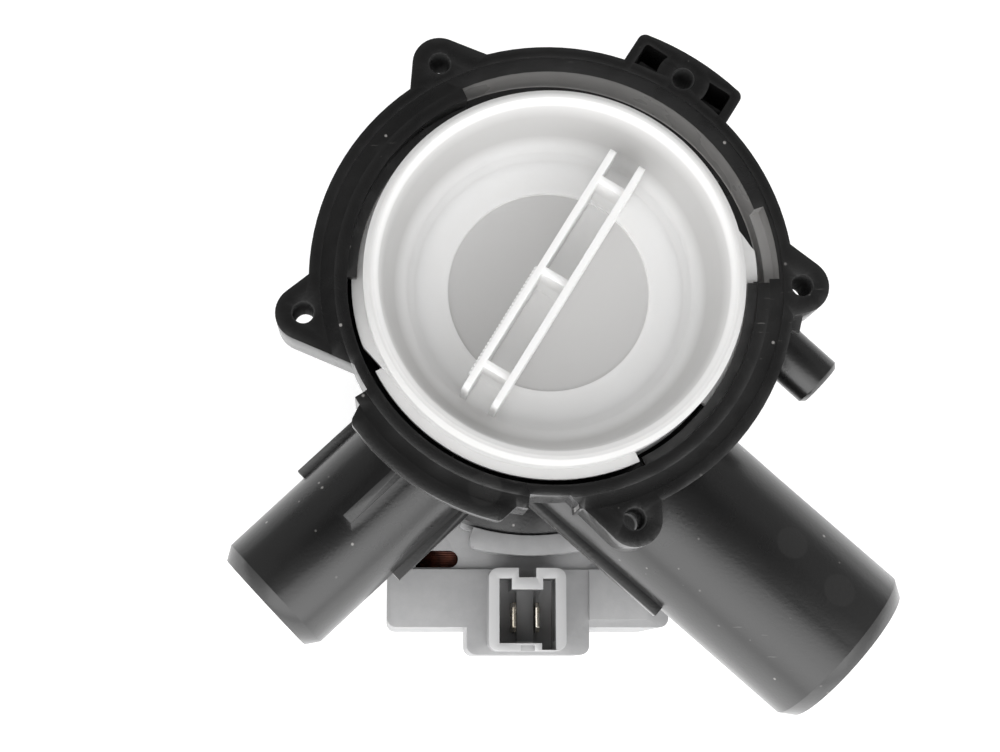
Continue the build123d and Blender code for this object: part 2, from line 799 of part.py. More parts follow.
def cover_shell():
    """Both halves together, before they are parted."""
    coil_top = cover_front_level - coil_plate_drop
    sides = (-coil_half_width, coil_half_width)
    body = block(sides, (coil_start, box_start - cover_wall), (can_bottom, coil_top))
    body += block((-box_half_width, box_half_width), (box_end, box_start), (can_bottom, cover_front_level))
    body = fillet(body.edges().filter_by(Axis.Z).sort_by(Axis.Y)[:2], cover_round)
    middle = (-middle_half_width, middle_half_width)
    boss_levels = (cover_front_level - middle_depth, cover_front_level)
    boss = block(middle, (middle_end, box_end + cover_wall), boss_levels)
    body += fillet(boss.edges().filter_by(Axis.Z).sort_by(Axis.Y)[:2], cover_round)
    panel = block((middle_half_width, panel_end), (panel_bottom, box_start),
                  (cover_front_level - cover_wall, cover_front_level + panel_height))
    body += fillet(panel.edges().filter_by(Axis.Z).group_by(Axis.X)[-1], panel_round)
    inner = (-coil_half_width + cover_wall, coil_half_width - cover_wall)
    body -= block(inner, (coil_start + overrun, yoke_front + seat_gap),
                  (can_bottom + cover_wall, coil_top - coil_plate_wall))
    yoke = leg_offset + leg_width / 2 + seat_gap
    return body - block((-yoke, yoke), (box_start + cover_wall, yoke_rear - seat_gap),
                        (core_front - core_stack - seat_gap, core_front + seat_gap))


def socket_shroud():
    """The plug's socket: its outside, its cavity with two keys, and the slits cut in its walls."""
    low, high = socket_centre - socket_width / 2, socket_centre + socket_width / 2
    body = block((low, high), (socket_end, socket_start), (cover_front_level - cover_wall, socket_rim))
    body = fillet(body.edges().filter_by(Axis.Z), cover_round)
    left, right = low + socket_wall, high - socket_wall
    top, bottom = socket_start - socket_wall, socket_end + cover_wall
    depth = (socket_rim - socket_depth, socket_rim + overrun)
    cavity = block((left, right), (bottom - step_height, top), depth)
    key = (socket_centre - key_width / 2, socket_centre + key_width / 2)
    cavity -= block(key, (top - key_depth, top + overrun), depth)
    cavity -= block((left, right - step_width), (bottom - step_height - overrun, bottom), depth)
    half_island = terminal_pitch / 2 - terminal_thickness / 2 - island_gap
    island = (socket_centre - half_island, socket_centre + half_island)
    cavity -= block(island, (bottom, top), (depth[0], island_top))
    notch = (socket_centre - key_notch / 2, socket_centre + key_notch / 2)
    slits = block(notch, (socket_start - key_notch_depth, socket_start + overrun),
                  (cover_front_level, socket_rim + overrun))
    latch = (socket_centre - latch_width / 2, socket_centre + latch_width / 2)
    slits += block(latch, (socket_end - overrun, socket_end + latch_height),
                   (socket_rim - latch_depth, socket_rim + overrun))
    return body, cavity, slits


def cover_halves():
    shell = cover_shell()
    body, cavity, slits = socket_shroud()
    shell = (shell + body) - cavity - slits
    radius = (slot_top - slot_bottom) / 2
    window = block((slot_left, slot_right - radius), (slot_bottom, slot_top),
                   (cover_front_level - cover_wall - overrun, cover_front_level + overrun))
    window += Pos(slot_right - radius, (slot_top + slot_bottom) / 2, 0) * disc(
        radius, cover_front_level + overrun, cover_front_level - cover_wall - overrun)
    shell -= window
    for x, y, _ in terminals_at():
        shell -= terminal(x, y, fit_gap)
    wide = 2 * box_half_width
    upper = block((-wide, wide), (2 * middle_end, 0), (cover_split, 0))
    lower = block((-wide, wide), (2 * middle_end, 0), (can_bottom - overrun, cover_split))
    return shell & upper, shell & lower


def terminals_at():
    half = terminal_pitch / 2
    return [(socket_centre - half, terminal_centre, "left"),
            (socket_centre + half, terminal_centre, "right")]


def terminal(x, y, margin):
    """A flat tab; the margin is the play of its slot in the cover."""
    half_width = terminal_width / 2 + margin
    half_thick = terminal_thickness / 2 + margin
    return block((x - half_thick, x + half_thick), (y - half_width, y + half_width),
                 (terminal_tail - margin, terminal_tip))


def finished_terminal(x, y):
    body = terminal(x, y, 0)
    tip = body.edges().filter_by(Axis.X).group_by(Axis.Z)[-1]
    body = chamfer(tip, terminal_chamfer)
    hole = Cylinder(terminal_hole, terminal_width, rotation=(0, 90, 0))
    return body - Pos(x, y, terminal_tip - 2 * terminal_chamfer) * hole


os.makedirs("parts", exist_ok=True)
save("pump_casing", casing())
save("filter_cap", filter_cap())
save("filter_seal", filter_seal())
save("strainer_basket", strainer())
save("motor_flange", rotor_can())
save("casing_seal", casing_seal())
for node, piece in bushes().items():
    save(node, piece)
save("bearing_cover", bearing_cover())
save("drive_dog", drive_dog())
save("magnet_sleeve", magnet_sleeve())
save("rotor_magnet", rotor_magnet())
save("pump_shaft", shaft())
for node, piece in washers().items():
    save(node, piece)
save("impeller", impeller())
save("stator_core", stator_core())
for name, side in (("left", -1), ("right", 1)):
    bobbin, winding = bobbin_and_winding(side)
    save(name + "_bobbin", bobbin)
    save(name + "_winding", winding)
front_cover, rear_cover = cover_halves()
save("coil_cover", front_cover)
save("rear_coil_cover", rear_cover)
for x, y, name in terminals_at():
    save(name + "_terminal", finished_terminal(x, y))
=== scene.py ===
import math

import bmesh
import bpy
from mathutils import Matrix, Vector


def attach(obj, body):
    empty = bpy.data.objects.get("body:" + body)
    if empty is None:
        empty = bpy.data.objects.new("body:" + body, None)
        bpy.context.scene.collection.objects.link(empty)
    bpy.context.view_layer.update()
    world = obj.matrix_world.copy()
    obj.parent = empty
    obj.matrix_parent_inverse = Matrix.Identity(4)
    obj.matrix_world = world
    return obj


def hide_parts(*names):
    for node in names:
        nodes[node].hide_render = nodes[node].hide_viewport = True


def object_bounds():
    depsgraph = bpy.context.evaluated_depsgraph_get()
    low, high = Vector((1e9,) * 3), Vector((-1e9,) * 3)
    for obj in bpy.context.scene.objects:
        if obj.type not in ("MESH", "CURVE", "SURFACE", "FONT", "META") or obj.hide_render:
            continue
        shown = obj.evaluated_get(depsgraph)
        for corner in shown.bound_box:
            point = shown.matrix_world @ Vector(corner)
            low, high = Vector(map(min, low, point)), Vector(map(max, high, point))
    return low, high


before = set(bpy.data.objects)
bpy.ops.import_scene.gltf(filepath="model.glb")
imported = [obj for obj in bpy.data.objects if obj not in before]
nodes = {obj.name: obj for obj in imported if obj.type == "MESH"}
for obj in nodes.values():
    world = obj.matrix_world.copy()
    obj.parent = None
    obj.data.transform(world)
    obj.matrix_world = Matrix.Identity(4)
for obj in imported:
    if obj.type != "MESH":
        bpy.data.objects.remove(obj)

cad_box = [list(corner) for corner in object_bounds()]


# Pump casing: one black polypropylene moulding with the filter's mouth, five screw fixings
# and three hose ports. Its satin skin carries moulding haze, dust and light scuffs. The wall
# of its mouth carries a painted reflection of the white cap, paler deeper down. Its screw
# bores are dull and painted near black, as painted shade. The mould has broken every edge.

EDGE_BREAK = 0.00022
CASING_BLACK = (0.0022, 0.0021, 0.0021, 1.0)
CASING_HAZE = (0.0065, 0.0063, 0.0062, 1.0)
HAZE_SCALE = 38.0
HAZE_SPAN = (0.35, 0.7)
CASING_SATIN = (0.26, 0.34)
CASING_GLOSS = 0.9
CASING_SHEEN = 0.07
CASING_GRAIN = 1600.0
CASING_DUST = (0.30, 0.29, 0.28, 1.0)
DUST_SCALE = 260.0
DUST_SIZE = 0.1
DUST_PATCH_SCALE = 60.0
DUST_PATCH_SPAN = (0.48, 0.56)
SCUFF_SCALE = 260.0
SCUFF_STRETCH = (1.0, 9.0, 1.0)
SCUFF_TURN = (0.0, 0.0, 0.7)
SCUFF_SPAN = (0.66, 0.74)
SCUFF_PATCH_SCALE = 33.0
SCUFF_PATCH_SPAN = (0.56, 0.66)
SCUFF_SHARE = 0.35
MOUTH_PAINTED_REFLECTION_TOP = (0.26, 0.255, 0.25, 1.0)
MOUTH_PAINTED_REFLECTION_LOW = (0.60, 0.59, 0.58, 1.0)
MOUTH_RADII = (0.0409, 0.04312)
MOUTH_SIDE_EDGE = 0.00005
MOUTH_LEVELS = (-0.0094, -0.0007)
MOUTH_LEVEL_EDGE = 0.0002
OUTWARD_SPAN = (0.005, 0.01)
PAD_BLACK = (0.012, 0.0117, 0.0115, 1.0)
PADS = (
    ((-0.0129, -0.0395, 0.0), 0.0031),
    ((0.0556, -0.0571, -0.0123), 0.0032),
    ((0.0468, -0.0481, -0.0128), 0.0032),
)
SPOT_EDGE = 0.0002
BORE_PAINTED_SHADE = (0.0005, 0.0005, 0.0005, 1.0)
BORE_ROUGHNESS = 0.95
BORE_ANGLES = (117.3, 188.5, 288.1, 359.4, 57.8)
BORE_CIRCLE = 0.0472
BORE_REACH = 0.0022


def break_edges(piece, radius, angle=32.0, segments=2, weld_reach=0.000002):
    """Rounds the sharp edges of a moulding or pressing and shades its faces smooth."""
    weld = piece.modifiers.new("weld", "WELD")
    weld.merge_threshold = weld_reach
    bevel = piece.modifiers.new("edge break", "BEVEL")
    bevel.width = radius
    bevel.segments = segments
    bevel.limit_method = "ANGLE"
    bevel.angle_limit = math.radians(angle)
    bevel.miter_outer = "MITER_ARC"
    bevel.use_clamp_overlap = True
    bevel.harden_normals = True
    for face in piece.data.polygons:
        face.use_smooth = True


def finish_with(piece, material):
    """Gives the whole piece one material."""
    piece.data.materials.clear()
    piece.data.materials.append(material)


def new_finish(name, color, roughness, metallic=0.0):
    """A new material of one plain colour, with its node tree and its shader."""
    material = bpy.data.materials.new(name)
    material.use_nodes = True
    tree = material.node_tree
    shader = tree.nodes["Principled BSDF"]
    shader.inputs["Base Color"].default_value = color
    shader.inputs["Roughness"].default_value = roughness
    shader.inputs["Metallic"].default_value = metallic
    return material, tree, shader


def pattern_place(tree, scale=(1.0, 1.0, 1.0), turn=(0.0, 0.0, 0.0)):
    """Where a point lies on its piece, in metres, stretched and turned if asked."""
    place = tree.nodes.new("ShaderNodeTexCoord")
    mapping = tree.nodes.new("ShaderNodeMapping")
    mapping.inputs["Scale"].default_value = scale
    mapping.inputs["Rotation"].default_value = turn
    tree.links.new(place.outputs["Object"], mapping.inputs["Vector"])
    return mapping.outputs["Vector"]


def flat_place(tree):
    """Where a point lies as seen along the pump's axis."""
    return pattern_place(tree, (1.0, 1.0, 0.0))


def axes_of(tree, vector):
    """The X, Y and Z of a place or a direction."""
    split = tree.nodes.new("ShaderNodeSeparateXYZ")
    tree.links.new(vector, split.inputs["Vector"])
    return split.outputs


def vector_sum(tree, operation, first, second=None):
    """One number worked out of one or two vectors, such as a length or a distance."""
    work = tree.nodes.new("ShaderNodeVectorMath")
    work.operation = operation
    tree.links.new(first, work.inputs[0])
    if isinstance(second, tuple):
        work.inputs[1].default_value = second
    elif second is not None:
        tree.links.new(second, work.inputs[1])
    return work.outputs["Value"]


def radius_of(tree):
    """How far a point lies from the pump's axis."""
    return vector_sum(tree, "LENGTH", flat_place(tree))


def grain(tree, vector, scale, detail=3.0, roughness=0.55):
    """Even noise between 0 and 1."""
    noise = tree.nodes.new("ShaderNodeTexNoise")
    noise.inputs["Scale"].default_value = scale
    noise.inputs["Detail"].default_value = detail
    noise.inputs["Roughness"].default_value = roughness
    tree.links.new(vector, noise.inputs["Vector"])
    return noise.outputs["Fac"]


def spread(tree, value, from_low, from_high, to_low=0.0, to_high=1.0):
    """Maps one span of a pattern onto another, held at both ends."""
    span = tree.nodes.new("ShaderNodeMapRange")
    span.inputs["From Min"].default_value = from_low
    span.inputs["From Max"].default_value = from_high
    span.inputs["To Min"].default_value = to_low
    span.inputs["To Max"].default_value = to_high
    tree.links.new(value, span.inputs["Value"])
    return span.outputs["Result"]


def fade(tree, value, low, high):
    """1 below a span and 0 above it."""
    return spread(tree, value, low, high, 1.0, 0.0)


def chained(tree, operation, values):
    """Puts several patterns together, one after another, with the same sum."""
    whole = values[0]
    for value in values[1:]:
        step = tree.nodes.new("ShaderNodeMath")
        step.operation = operation
        tree.links.new(whole, step.inputs[0])
        tree.links.new(value, step.inputs[1])
        whole = step.outputs[0]
    return whole


def times(tree, *values):
    """The product of several patterns: of masks, what lies in all of them."""
    return chained(tree, "MULTIPLY", values)


def joined(tree, *values):
    """The largest of several patterns: of masks, what lies in any of them."""
    return chained(tree, "MAXIMUM", values)


def band(tree, value, low, high, soft):
    """1 between two values and 0 outside them, with soft edges."""
    return times(tree, spread(tree, value, low - soft, low + soft),
                 fade(tree, value, high - soft, high + soft))


def round_spot(tree, place, centre, reach):
    """1 on a round spot and 0 outside it."""
    away = vector_sum(tree, "DISTANCE", place, centre)
    return fade(tree, away, reach - SPOT_EDGE, reach + SPOT_EDGE)


def specks(tree, vector, scale, size):
    """Scattered dots: 1 inside a dot and 0 outside."""
    cells = tree.nodes.new("ShaderNodeTexVoronoi")
    cells.inputs["Scale"].default_value = scale
    tree.links.new(vector, cells.inputs["Vector"])
    return spread(tree, cells.outputs["Distance"], size, size * 0.5)


def blend_colors(tree, factor, first, second):
    """Mixes two colours, each a fixed colour or another node's output, by their sockets."""
    mix = tree.nodes.new("ShaderNodeMix")
    mix.data_type = "RGBA"
    tree.links.new(factor, mix.inputs["Factor"])
    for socket, color in ((mix.inputs[6], first), (mix.inputs[7], second)):
        if isinstance(color, tuple):
            socket.default_value = color
        else:
            tree.links.new(color, socket)
    return mix.outputs[2]


def add_bump(tree, shader, height, strength, depth):
    """Raises a pattern's high places by up to depth."""
    bump = tree.nodes.new("ShaderNodeBump")
    bump.inputs["Strength"].default_value = strength
    bump.inputs["Distance"].default_value = depth
    tree.links.new(height, bump.inputs["Height"])
    tree.links.new(bump.outputs["Normal"], shader.inputs["Normal"])


casing_plastic, tree, shader = new_finish("casing plastic", CASING_BLACK, roughness=0.42)
place = pattern_place(tree)
height = axes_of(tree, place)["Z"]
haze = spread(tree, grain(tree, place, HAZE_SCALE, detail=4.0), *HAZE_SPAN)
skin = blend_colors(tree, haze, CASING_BLACK, CASING_HAZE)

flat = flat_place(tree)
surface = tree.nodes.new("ShaderNodeTexCoord")
outward = vector_sum(tree, "DOT_PRODUCT", surface.outputs["Normal"], flat)
# Painted reflection: the mouth's wall is painted grey, paler deeper down, standing for the white
# cap mirrored in it.
mouth_painted_reflection = times(tree, band(tree, radius_of(tree), *MOUTH_RADII, MOUTH_SIDE_EDGE),
              band(tree, height, *MOUTH_LEVELS, MOUTH_LEVEL_EDGE),
              fade(tree, outward, *OUTWARD_SPAN))
depth = spread(tree, height, MOUTH_LEVELS[1], MOUTH_LEVELS[0])
skin = blend_colors(tree, mouth_painted_reflection, skin, blend_colors(tree, depth, MOUTH_PAINTED_REFLECTION_TOP, MOUTH_PAINTED_REFLECTION_LOW))

pads = joined(tree, *[round_spot(tree, place, *pad) for pad in PADS])
skin = blend_colors(tree, pads, skin, PAD_BLACK)

dots = specks(tree, place, DUST_SCALE, DUST_SIZE)
dusty = spread(tree, grain(tree, place, DUST_PATCH_SCALE, detail=2.0), *DUST_PATCH_SPAN)
streaks = grain(tree, pattern_place(tree, SCUFF_STRETCH, SCUFF_TURN), SCUFF_SCALE)
scuffed = spread(tree, grain(tree, place, SCUFF_PATCH_SCALE, detail=2.0),
                 *SCUFF_PATCH_SPAN, 0.0, SCUFF_SHARE)
scuffs = times(tree, spread(tree, streaks, *SCUFF_SPAN), scuffed)
dust = joined(tree, times(tree, dots, dusty), scuffs)
skin = blend_colors(tree, dust, skin, CASING_DUST)

# Painted shade: the screw bores are painted near black, and made dull.
bore_centres = [(BORE_CIRCLE * math.cos(math.radians(angle)),
                 BORE_CIRCLE * math.sin(math.radians(angle)), 0.0) for angle in BORE_ANGLES]
bores_painted_shade = joined(tree, *[round_spot(tree, flat, centre, BORE_REACH) for centre in bore_centres])
tree.links.new(blend_colors(tree, bores_painted_shade, skin, BORE_PAINTED_SHADE), shader.inputs["Base Color"])
satin = spread(tree, haze, 0.0, 1.0, *CASING_SATIN)
dull = spread(tree, bores_painted_shade, 0.0, 1.0, 0.0, BORE_ROUGHNESS)
tree.links.new(joined(tree, satin, dull), shader.inputs["Roughness"])
shader.inputs["Specular IOR Level"].default_value = CASING_GLOSS
shader.inputs["Sheen Weight"].default_value = CASING_SHEEN
shader.inputs["Sheen Roughness"].default_value = 0.35
add_bump(tree, shader, grain(tree, place, CASING_GRAIN, detail=2.0), strength=0.12, depth=0.0002)

casing = nodes["pump_casing"]
break_edges(casing, EDGE_BREAK)
finish_with(casing, casing_plastic)


# Filter: a white polypropylene cap with a dished face, its two-bar grip and its lugs, on a
# strainer basket. The plastic lets some light through. The middle disc is greyer, but the
# floor between the bars is kept white and glows faintly, as painted light. The ring below
# the lip's crest and the rim carry painted shade.

CAP_WHITE = (0.95, 0.947, 0.94, 1.0)
CAP_SHADE = (0.93, 0.926, 0.918, 1.0)
CAP_CLOUD_SCALE = 45.0
CAP_CLOUD_SPAN = (0.35, 0.7)
CAP_SATIN = (0.34, 0.44)
CAP_GRAIN = 1300.0
CAP_DEPTH_COLOR = (1.0, 0.97, 0.94)
CAP_DEPTH = 0.0012
CAP_DEPTH_SHARE = 0.25
CAP_BOWL_PAINTED_SHADE = (0.56, 0.556, 0.55, 1.0)
BOWL_RADII = (0.0288, 0.0331)
BOWL_SIDE_EDGE = 0.0012
BOWL_LEVELS = (0.0032, 0.0042)
CAP_RIM_PAINTED_SHADE = (0.72, 0.717, 0.71, 1.0)
RIM_RADII = (0.0335, 0.0345)
CAP_DISC = (0.66, 0.655, 0.65, 1.0)
DISC_RADII = (0.0194, 0.0196)
DISC_LEVELS = (-0.0108, -0.0105)
GRIP_TURN = math.radians(58.7)
GRIP_SIDES = (0.0028, 0.0031)
PAINTED_GLOW_STRENGTH = 0.13
PAINTED_GLOW_SIDES = (0.0023, 0.0025)
PAINTED_GLOW_LEVELS = (-0.006, -0.004)
PAINTED_GLOW_RADII = (0.026, 0.028)


def vary_roughness(tree, shader, pattern, low, high, span=(0.0, 1.0)):
    """Lets a pattern set how rough a surface is, from low to high over its span."""
    tree.links.new(spread(tree, pattern, *span, low, high), shader.inputs["Roughness"])


cap_plastic, tree, shader = new_finish("filter plastic", CAP_WHITE, roughness=0.38)
place = pattern_place(tree)
height = axes_of(tree, place)["Z"]
reach = radius_of(tree)
off_grip = tree.nodes.new("ShaderNodeMath")
off_grip.operation = "ABSOLUTE"
along_grip = pattern_place(tree, turn=(0.0, 0.0, -GRIP_TURN))
tree.links.new(axes_of(tree, along_grip)["Y"], off_grip.inputs[0])
off_grip = off_grip.outputs[0]

cloud = spread(tree, grain(tree, place, CAP_CLOUD_SCALE), *CAP_CLOUD_SPAN)
# Painted shade: the bowl's wall below the lip's crest is painted grey.
bowl_painted_shade = times(tree, band(tree, reach, *BOWL_RADII, BOWL_SIDE_EDGE),
             fade(tree, height, *BOWL_LEVELS))
# The middle disc is painted greyer, apart from the floor between the bars, which stays white as
# painted light.
disc = times(tree, fade(tree, reach, *DISC_RADII), spread(tree, off_grip, *GRIP_SIDES),
             fade(tree, height, *DISC_LEVELS))
skin = blend_colors(tree, cloud, CAP_WHITE, CAP_SHADE)
skin = blend_colors(tree, bowl_painted_shade, skin, CAP_BOWL_PAINTED_SHADE)
# Painted shade: the rim, from just inside the lip's crest outwards, is painted grey.
skin = blend_colors(tree, spread(tree, reach, *RIM_RADII), skin, CAP_RIM_PAINTED_SHADE)
tree.links.new(blend_colors(tree, disc, skin, CAP_DISC), shader.inputs["Base Color"])

# Painted light: a faint white glow on the floor between the bars.
painted_glow_between_bars = spread(tree, off_grip, *PAINTED_GLOW_SIDES, PAINTED_GLOW_STRENGTH, 0.0)
painted_glow = times(tree, painted_glow_between_bars, times(tree, fade(tree, height, *PAINTED_GLOW_LEVELS),
                                          fade(tree, reach, *PAINTED_GLOW_RADII)))
shader.inputs["Emission Color"].default_value = (1.0, 1.0, 1.0, 1.0)
tree.links.new(painted_glow, shader.inputs["Emission Strength"])
shader.inputs["Subsurface Weight"].default_value = CAP_DEPTH_SHARE
shader.inputs["Subsurface Radius"].default_value = CAP_DEPTH_COLOR
shader.inputs["Subsurface Scale"].default_value = CAP_DEPTH
vary_roughness(tree, shader, cloud, *CAP_SATIN)
add_bump(tree, shader, grain(tree, place, CAP_GRAIN, detail=2.0), strength=0.06, depth=0.0002)
for name in ("filter_cap", "strainer_basket"):
    break_edges(nodes[name], EDGE_BREAK)
    finish_with(nodes[name], cap_plastic)


# Grip ridges: fine upright ridges moulded on the outer side of the grip's left bar, where
# the fingers push. They are part of the white cap.

RIDGE_COUNT = 30
RIDGE_SIDES = 6
RIDGE_PITCH = 0.0008
RIDGE_START = -0.0238
RIDGE_REACH = 0.00042
RIDGE_SPAN = (0.0002, 0.00275)
BAR_FACE = 0.0038


def add_piece(name, shape):
    """Puts a finished bmesh into the scene as an object."""
    mesh = bpy.data.meshes.new(name)
    shape.to_mesh(mesh)
    shape.free()
    piece = bpy.data.objects.new(name, mesh)
    bpy.context.scene.collection.objects.link(piece)
    return piece


ridges = bmesh.new()
ridge_height = RIDGE_SPAN[1] - RIDGE_SPAN[0]
for k in range(RIDGE_COUNT):
    centre = Vector((RIDGE_START + k * RIDGE_PITCH, BAR_FACE, sum(RIDGE_SPAN) / 2))
    bmesh.ops.create_cone(ridges, cap_ends=True, segments=RIDGE_SIDES, radius1=RIDGE_REACH,
                          radius2=RIDGE_REACH, depth=ridge_height,
                          matrix=Matrix.Translation(centre))
bmesh.ops.rotate(ridges, cent=(0.0, 0.0, 0.0), matrix=Matrix.Rotation(GRIP_TURN, 3, "Z"),
                 verts=ridges.verts)
grip_ridges = add_piece("grip_ridges", ridges)
finish_with(grip_ridges, cap_plastic)
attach(grip_ridges, "filter")


# Rubber: the filter's seal ring, the ring between casing and motor, and the two cushions
# that hold the bushes. Black, matt and slightly dusty.

RUBBER_BLACK = (0.018, 0.018, 0.018, 1.0)
RUBBER_BLOOM = (0.045, 0.044, 0.042, 1.0)
BLOOM_SCALE = 160.0
BLOOM_SPAN = (0.4, 0.75)
RUBBER_GRAIN = 2600.0
RUBBER_EDGE = 0.0001

seal_rubber, tree, shader = new_finish("seal rubber", RUBBER_BLACK, roughness=0.7)
place = pattern_place(tree)
bloom = spread(tree, grain(tree, place, BLOOM_SCALE, detail=4.0), *BLOOM_SPAN)
rubber = blend_colors(tree, bloom, RUBBER_BLACK, RUBBER_BLOOM)
tree.links.new(rubber, shader.inputs["Base Color"])
add_bump(tree, shader, grain(tree, place, RUBBER_GRAIN, detail=2.0), strength=0.15, depth=0.0001)
for name in ("filter_seal", "casing_seal", "front_bush_cushion", "rear_bush_cushion"):
    break_edges(nodes[name], RUBBER_EDGE, angle=50.0)
    finish_with(nodes[name], seal_rubber)


# Motor housing: the flange with its rotor can, and the two halves of the coil cover, all in
# grey glass-filled polyester. Its skin is matt and faintly mottled by the fibres. It is
# painted paler from the socket's rim up, as a painted highlight, and painted dark inside
# the socket, as painted shade.

MOTOR_GREY = (0.46, 0.46, 0.463, 1.0)
MOTOR_MOTTLE = (0.41, 0.41, 0.415, 1.0)
MOTTLE_SCALE = 220.0
MOTTLE_SPAN = (0.35, 0.7)
MOTOR_SATIN = (0.46, 0.58)
MOTOR_GRAIN = 2200.0
MOTOR_EDGE = 0.00028
MOTOR_PAINTED_HIGHLIGHT = (0.74, 0.74, 0.742, 1.0)
RIM_LEVELS = (-0.0538, -0.0535)
PAINTED_HIGHLIGHT_SHARE = 0.75
MOTOR_PAINTED_SHADE = (0.17, 0.17, 0.172, 1.0)
SOCKET_X = (-0.0069, 0.0053)
SOCKET_Y = (-0.0657, -0.0525)
SOCKET_SIDE_EDGE = 0.00003
SOCKET_Z = (-0.0609, -0.0545)
SOCKET_LEVEL_EDGE = 0.0003

motor_plastic, tree, shader = new_finish("motor plastic", MOTOR_GREY, roughness=0.5)
place = pattern_place(tree)
spot = axes_of(tree, place)
mottle = spread(tree, grain(tree, place, MOTTLE_SCALE, detail=5.0, roughness=0.65), *MOTTLE_SPAN)
# Painted highlight: the motor's plastic is painted paler from the socket's rim upwards.
painted_highlight_rim = spread(tree, spot["Z"], *RIM_LEVELS, 0.0, PAINTED_HIGHLIGHT_SHARE)
# Painted shade: the inside of the socket is painted dark.
socket_painted_shade = times(tree, band(tree, spot["X"], *SOCKET_X, SOCKET_SIDE_EDGE),
             band(tree, spot["Y"], *SOCKET_Y, SOCKET_SIDE_EDGE),
             band(tree, spot["Z"], *SOCKET_Z, SOCKET_LEVEL_EDGE))
skin = blend_colors(tree, mottle, MOTOR_GREY, MOTOR_MOTTLE)
skin = blend_colors(tree, painted_highlight_rim, skin, MOTOR_PAINTED_HIGHLIGHT)
tree.links.new(blend_colors(tree, socket_painted_shade, skin, MOTOR_PAINTED_SHADE), shader.inputs["Base Color"])
vary_roughness(tree, shader, mottle, *MOTOR_SATIN)
add_bump(tree, shader, grain(tree, place, MOTOR_GRAIN), strength=0.12, depth=0.0002)
for name in ("motor_flange", "coil_cover", "rear_coil_cover"):
    break_edges(nodes[name], MOTOR_EDGE)
    finish_with(nodes[name], motor_plastic)


# Plug tabs: two blanked brass blades, tin-plated, with coined lead-in edges. The plating is
# worn thin in small patches that run along the blades.

TIN = (0.78, 0.73, 0.64, 1.0)
TIN_WORN = (0.70, 0.60, 0.42, 1.0)
TIN_STRETCH = (1.0, 1.0, 0.2)
TIN_WEAR_SCALE = 500.0
TIN_WEAR_SPAN = (0.5, 0.75)
TIN_SATIN = (0.24, 0.4)
TIN_EDGE = 0.00012

tin_plate, tree, shader = new_finish("tin plate", TIN, roughness=0.3, metallic=1.0)
place = pattern_place(tree, TIN_STRETCH)
wear = spread(tree, grain(tree, place, TIN_WEAR_SCALE, detail=4.0), *TIN_WEAR_SPAN)
tree.links.new(blend_colors(tree, wear, TIN, TIN_WORN), shader.inputs["Base Color"])
vary_roughness(tree, shader, wear, *TIN_SATIN)
for name in ("left_terminal", "right_terminal"):
    break_edges(nodes[name], TIN_EDGE)
    finish_with(nodes[name], tin_plate)


# Stator: a stack of punched steel sheets and two white bobbins. The sheets' edges show as
# fine layers. The small white mouldings round the rotor are of the bobbins' plastic.

SHEET_STEEL = (0.34, 0.345, 0.36, 1.0)
SHEET_GAP = (0.12, 0.115, 0.11, 1.0)
SHEET_GAP_SHARE = 0.35
SHEETS_PER_METRE = 320.0
BOBBIN_WHITE = (0.70, 0.68, 0.62, 1.0)
BOBBIN_SCALE = 300.0
BOBBIN_SATIN = (0.4, 0.52)
BOBBIN_GRAIN = 1500.0
SATIN_SPAN = (0.3, 0.7)
STATOR_EDGE = 0.00015


def layers(tree, vector, direction, scale):
    """Even stripes across X, Y or Z, as stacked sheets lie."""
    wave = tree.nodes.new("ShaderNodeTexWave")
    wave.bands_direction = direction
    wave.inputs["Scale"].default_value = scale
    tree.links.new(vector, wave.inputs["Vector"])
    return wave.outputs["Fac"]


core_steel, tree, shader = new_finish("core steel", SHEET_STEEL, roughness=0.42, metallic=1.0)
sheets = layers(tree, pattern_place(tree), "Z", SHEETS_PER_METRE)
steel = blend_colors(tree, spread(tree, sheets, 0.0, SHEET_GAP_SHARE), SHEET_GAP, SHEET_STEEL)
tree.links.new(steel, shader.inputs["Base Color"])
add_bump(tree, shader, sheets, strength=0.4, depth=0.0001)
break_edges(nodes["stator_core"], STATOR_EDGE)
finish_with(nodes["stator_core"], core_steel)

bobbin_plastic, tree, shader = new_finish("bobbin plastic", BOBBIN_WHITE, roughness=0.45)
place = pattern_place(tree)
vary_roughness(tree, shader, grain(tree, place, BOBBIN_SCALE), *BOBBIN_SATIN, SATIN_SPAN)
add_bump(tree, shader, grain(tree, place, BOBBIN_GRAIN), strength=0.08, depth=0.0002)
for name in ("left_bobbin", "right_bobbin", "bearing_cover", "magnet_sleeve", "drive_dog"):
    break_edges(nodes[name], STATOR_EDGE)
    finish_with(nodes[name], bobbin_plastic)


# Windings: enamelled copper wire laid turn beside turn on each bobbin. The outer layer shows
# its turns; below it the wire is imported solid, so one closed body stands for it.

COPPER_DARK = (0.045, 0.012, 0.008, 1.0)
COPPER_LIT = (0.15, 0.042, 0.022, 1.0)
ENAMEL_SCALE = 700.0
ENAMEL_SPAN = (0.35, 0.7)
ENAMEL_SATIN = (0.28, 0.42)
COIL_OFFSET = 0.0162
COIL_OUTER = 0.00925
COIL_INNER = 0.0075
COIL_HALF_STRAIGHT = 0.005
COIL_LEVEL = -0.079
COIL_SPAN = (-0.04965, -0.02495)
COIL_TURNS = 62
TURN_POINTS = 4
END_STEPS = 14
WELD_REACH = 0.00001

